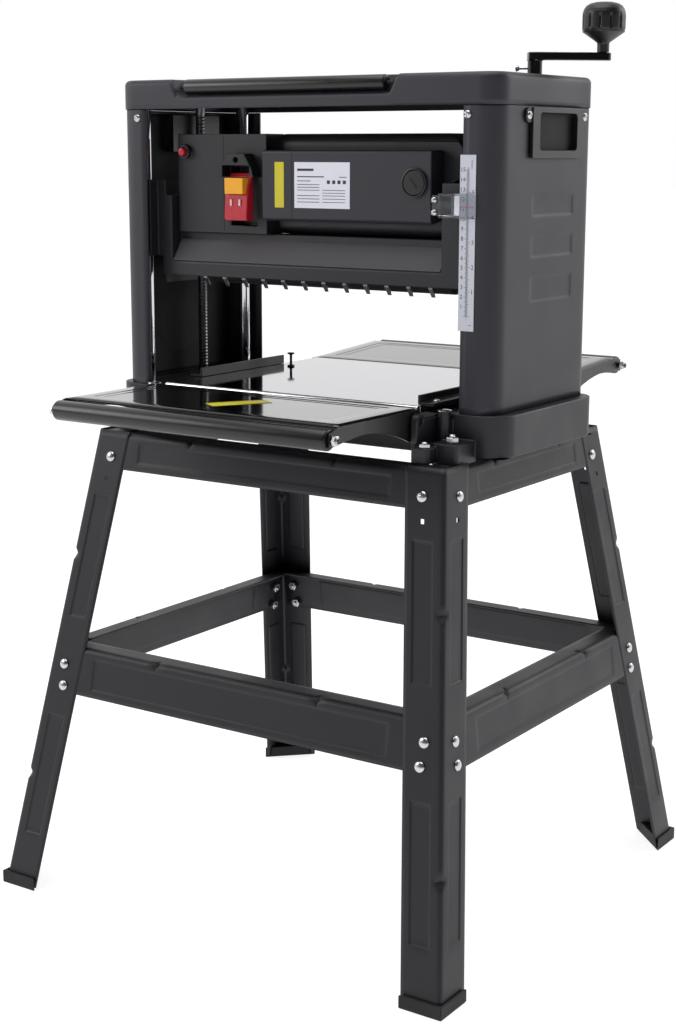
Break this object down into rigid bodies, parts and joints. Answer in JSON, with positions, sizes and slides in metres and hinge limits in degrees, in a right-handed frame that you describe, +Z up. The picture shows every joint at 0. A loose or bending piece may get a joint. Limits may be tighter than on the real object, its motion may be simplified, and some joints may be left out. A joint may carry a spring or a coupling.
{
  "type": "thickness planer",
  "caption": "Bench thickness planer on a splayed sheet-steel stand, with a crank-raised cutterhead carriage and folding infeed and outfeed tables.",
  "frame": {"origin": "on the floor, under the middle of the stand", "axes": "+Z up, -Y towards the infeed side, +X towards the crank side"},
  "size_m": [0.614, 0.6736, 1.019],
  "materials": {
    "stand_steel": "satin black powder coat",
    "foot_rubber": "matt",
    "cast_paint": "fine textured charcoal paint",
    "shell_coat": "satin charcoal powder coat",
    "table_steel": "polished",
    "chrome": "mirror",
    "gloss_paint": "high gloss black",
    "black_plastic": "satin",
    "scale_film": "printed film",
    "machined_steel": "machined",
    "armature_copper": "varnished windings",
    "rubber": "matt",
    "red_plastic": "moulded",
    "yellow_plastic": "moulded",
    "clear_plastic": "clear moulding"
  },
  "bodies": {
    "frame": {"leg_front_left": "stand_steel", "leg_front_right": "stand_steel", "leg_rear_left": "stand_steel", "leg_rear_right": "stand_steel", "top_rail_front": "stand_steel", "top_rail_rear": "stand_steel", "top_rail_left": "stand_steel", "top_rail_right": "stand_steel", "lower_rail_front": "stand_steel", "lower_rail_rear": "stand_steel", "lower_rail_left": "stand_steel", "lower_rail_right": "stand_steel", "foot_front_left": "foot_rubber", "foot_front_right": "foot_rubber", "foot_rear_left": "foot_rubber", "foot_rear_right": "foot_rubber", "base": "cast_paint", "housing_left": "shell_coat", "housing_right": "shell_coat", "top_cover": "shell_coat", "main_table": "table_steel", "table_edge_bar": "chrome", "guide_post_front_left": "chrome", "guide_post_front_right": "chrome", "guide_post_rear_left": "chrome", "guide_post_rear_right": "chrome", "side_guide_left": "gloss_paint", "side_guide_right": "gloss_paint", "grip_left": "black_plastic", "grip_right": "black_plastic", "depth_ruler": "scale_film", "lift_chain": "machined_steel"},
    "crank": {"crank_arm": "gloss_paint", "lead_screw_right": "machined_steel"},
    "crank_knob": {"crank_knob": "black_plastic"},
    "left_screw": {"lead_screw_left": "machined_steel"},
    "carriage": {"carriage": "cast_paint", "chip_deflector": "cast_paint", "switch_box": "cast_paint", "motor_cover": "cast_paint", "motor_housing": "cast_paint", "switch_guard": "black_plastic", "brush_cap": "black_plastic", "drive_belt": "rubber", "depth_pointer": "clear_plastic", "cord_gland": "rubber"},
    "paddle": {"switch_paddle": "red_plastic"},
    "key": {"safety_key": "yellow_plastic"},
    "reset": {"reset_button": "red_plastic"},
    "head": {"cutterhead": "machined_steel"},
    "armature": {"motor_armature": "armature_copper"},
    "feed_front": {"feed_roller_front": "rubber"},
    "feed_rear": {"feed_roller_rear": "rubber"},
    "pawls": {"kickback_pawls": "machined_steel"},
    "infeed": {"infeed_table": "gloss_paint"},
    "infeed_roll": {"infeed_roller": "gloss_paint"},
    "outfeed": {"outfeed_table": "gloss_paint"},
    "outfeed_roll": {"outfeed_roller": "gloss_paint"},
    "return_front": {"return_roller_front": "gloss_paint"},
    "return_rear": {"return_roller_rear": "gloss_paint"}
  },
  "joints": [
    {"name": "carriage_lift", "type": "slide", "parent": "frame", "child": "carriage", "axis": [0, 0, 1], "range_m": [-0.106, 0.04]},
    {"name": "crank_turn", "type": "hinge", "parent": "frame", "child": "crank", "pos_m": [0.228, -0.00982, 0.958], "axis": [0, 0, 1], "range_deg": [-19116, 7236]},
    {"name": "knob_spin", "type": "hinge", "parent": "crank", "child": "crank_knob", "pos_m": [0.284, 0.03858, 0.99], "axis": [0, 0, 1], "continuous": true},
    {"name": "left_screw_turn", "type": "hinge", "parent": "frame", "child": "left_screw", "pos_m": [-0.228, -0.00982, 0.75], "axis": [0, 0, 1], "range_deg": [-19116, 7236]},
    {"name": "paddle_rock", "type": "hinge", "parent": "carriage", "child": "paddle", "pos_m": [-0.094, -0.09982, 0.812], "axis": [1, 0, 0], "range_deg": [-14, 0]},
    {"name": "key_pull", "type": "slide", "parent": "paddle", "child": "key", "axis": [0, -1, 0], "range_m": [0, 0.015]},
    {"name": "reset_press", "type": "slide", "parent": "carriage", "child": "reset", "axis": [0, 1, 0], "range_m": [0, 0.003], "stiffness_N_per_m": 400, "springref_m": -0.002},
    {"name": "armature_spin", "type": "hinge", "parent": "carriage", "child": "armature", "pos_m": [0, -0.01382, 0.826], "axis": [1, 0, 0], "continuous": true},
    {"name": "head_spin", "type": "hinge", "parent": "carriage", "child": "head", "pos_m": [0, -0.01982, 0.7345], "axis": [1, 0, 0], "continuous": true},
    {"name": "feed_front_spin", "type": "hinge", "parent": "carriage", "child": "feed_front", "pos_m": [0, -0.06782, 0.7243], "axis": [1, 0, 0], "continuous": true},
    {"name": "feed_rear_spin", "type": "hinge", "parent": "carriage", "child": "feed_rear", "pos_m": [0, 0.02818, 0.7243], "axis": [1, 0, 0], "continuous": true},
    {"name": "pawls_swing", "type": "hinge", "parent": "carriage", "child": "pawls", "pos_m": [0, -0.09482, 0.728], "axis": [1, 0, 0], "range_deg": [0, 25]},
    {"name": "infeed_fold", "type": "hinge", "parent": "frame", "child": "infeed", "pos_m": [0, -0.17282, 0.585], "axis": [1, 0, 0], "range_deg": [-90, 0]},
    {"name": "infeed_roll_spin", "type": "hinge", "parent": "infeed", "child": "infeed_roll", "pos_m": [0, -0.32582, 0.586], "axis": [1, 0, 0], "continuous": true},
    {"name": "outfeed_fold", "type": "hinge", "parent": "frame", "child": "outfeed", "pos_m": [0, 0.17318, 0.585], "axis": [1, 0, 0], "range_deg": [0, 86]},
    {"name": "outfeed_roll_spin", "type": "hinge", "parent": "outfeed", "child": "outfeed_roll", "pos_m": [0, 0.32582, 0.59561], "axis": [1, 0, 0], "continuous": true},
    {"name": "return_front_spin", "type": "hinge", "parent": "frame", "child": "return_front", "pos_m": [0, -0.12282, 0.934], "axis": [1, 0, 0], "continuous": true},
    {"name": "return_rear_spin", "type": "hinge", "parent": "frame", "child": "return_rear", "pos_m": [0, 0.08318, 0.934], "axis": [1, 0, 0], "continuous": true}
  ],
  "couplings": [
    {"joint": "crank_turn", "follows": "carriage_lift", "rad_per_m": 3141.6},
    {"joint": "left_screw_turn", "follows": "carriage_lift", "rad_per_m": 3141.6},
    {"joint": "head_spin", "follows": "armature_spin", "ratio": 0.65},
    {"joint": "feed_front_spin", "follows": "armature_spin", "ratio": -0.0066},
    {"joint": "feed_rear_spin", "follows": "armature_spin", "ratio": -0.0066}
  ]
}
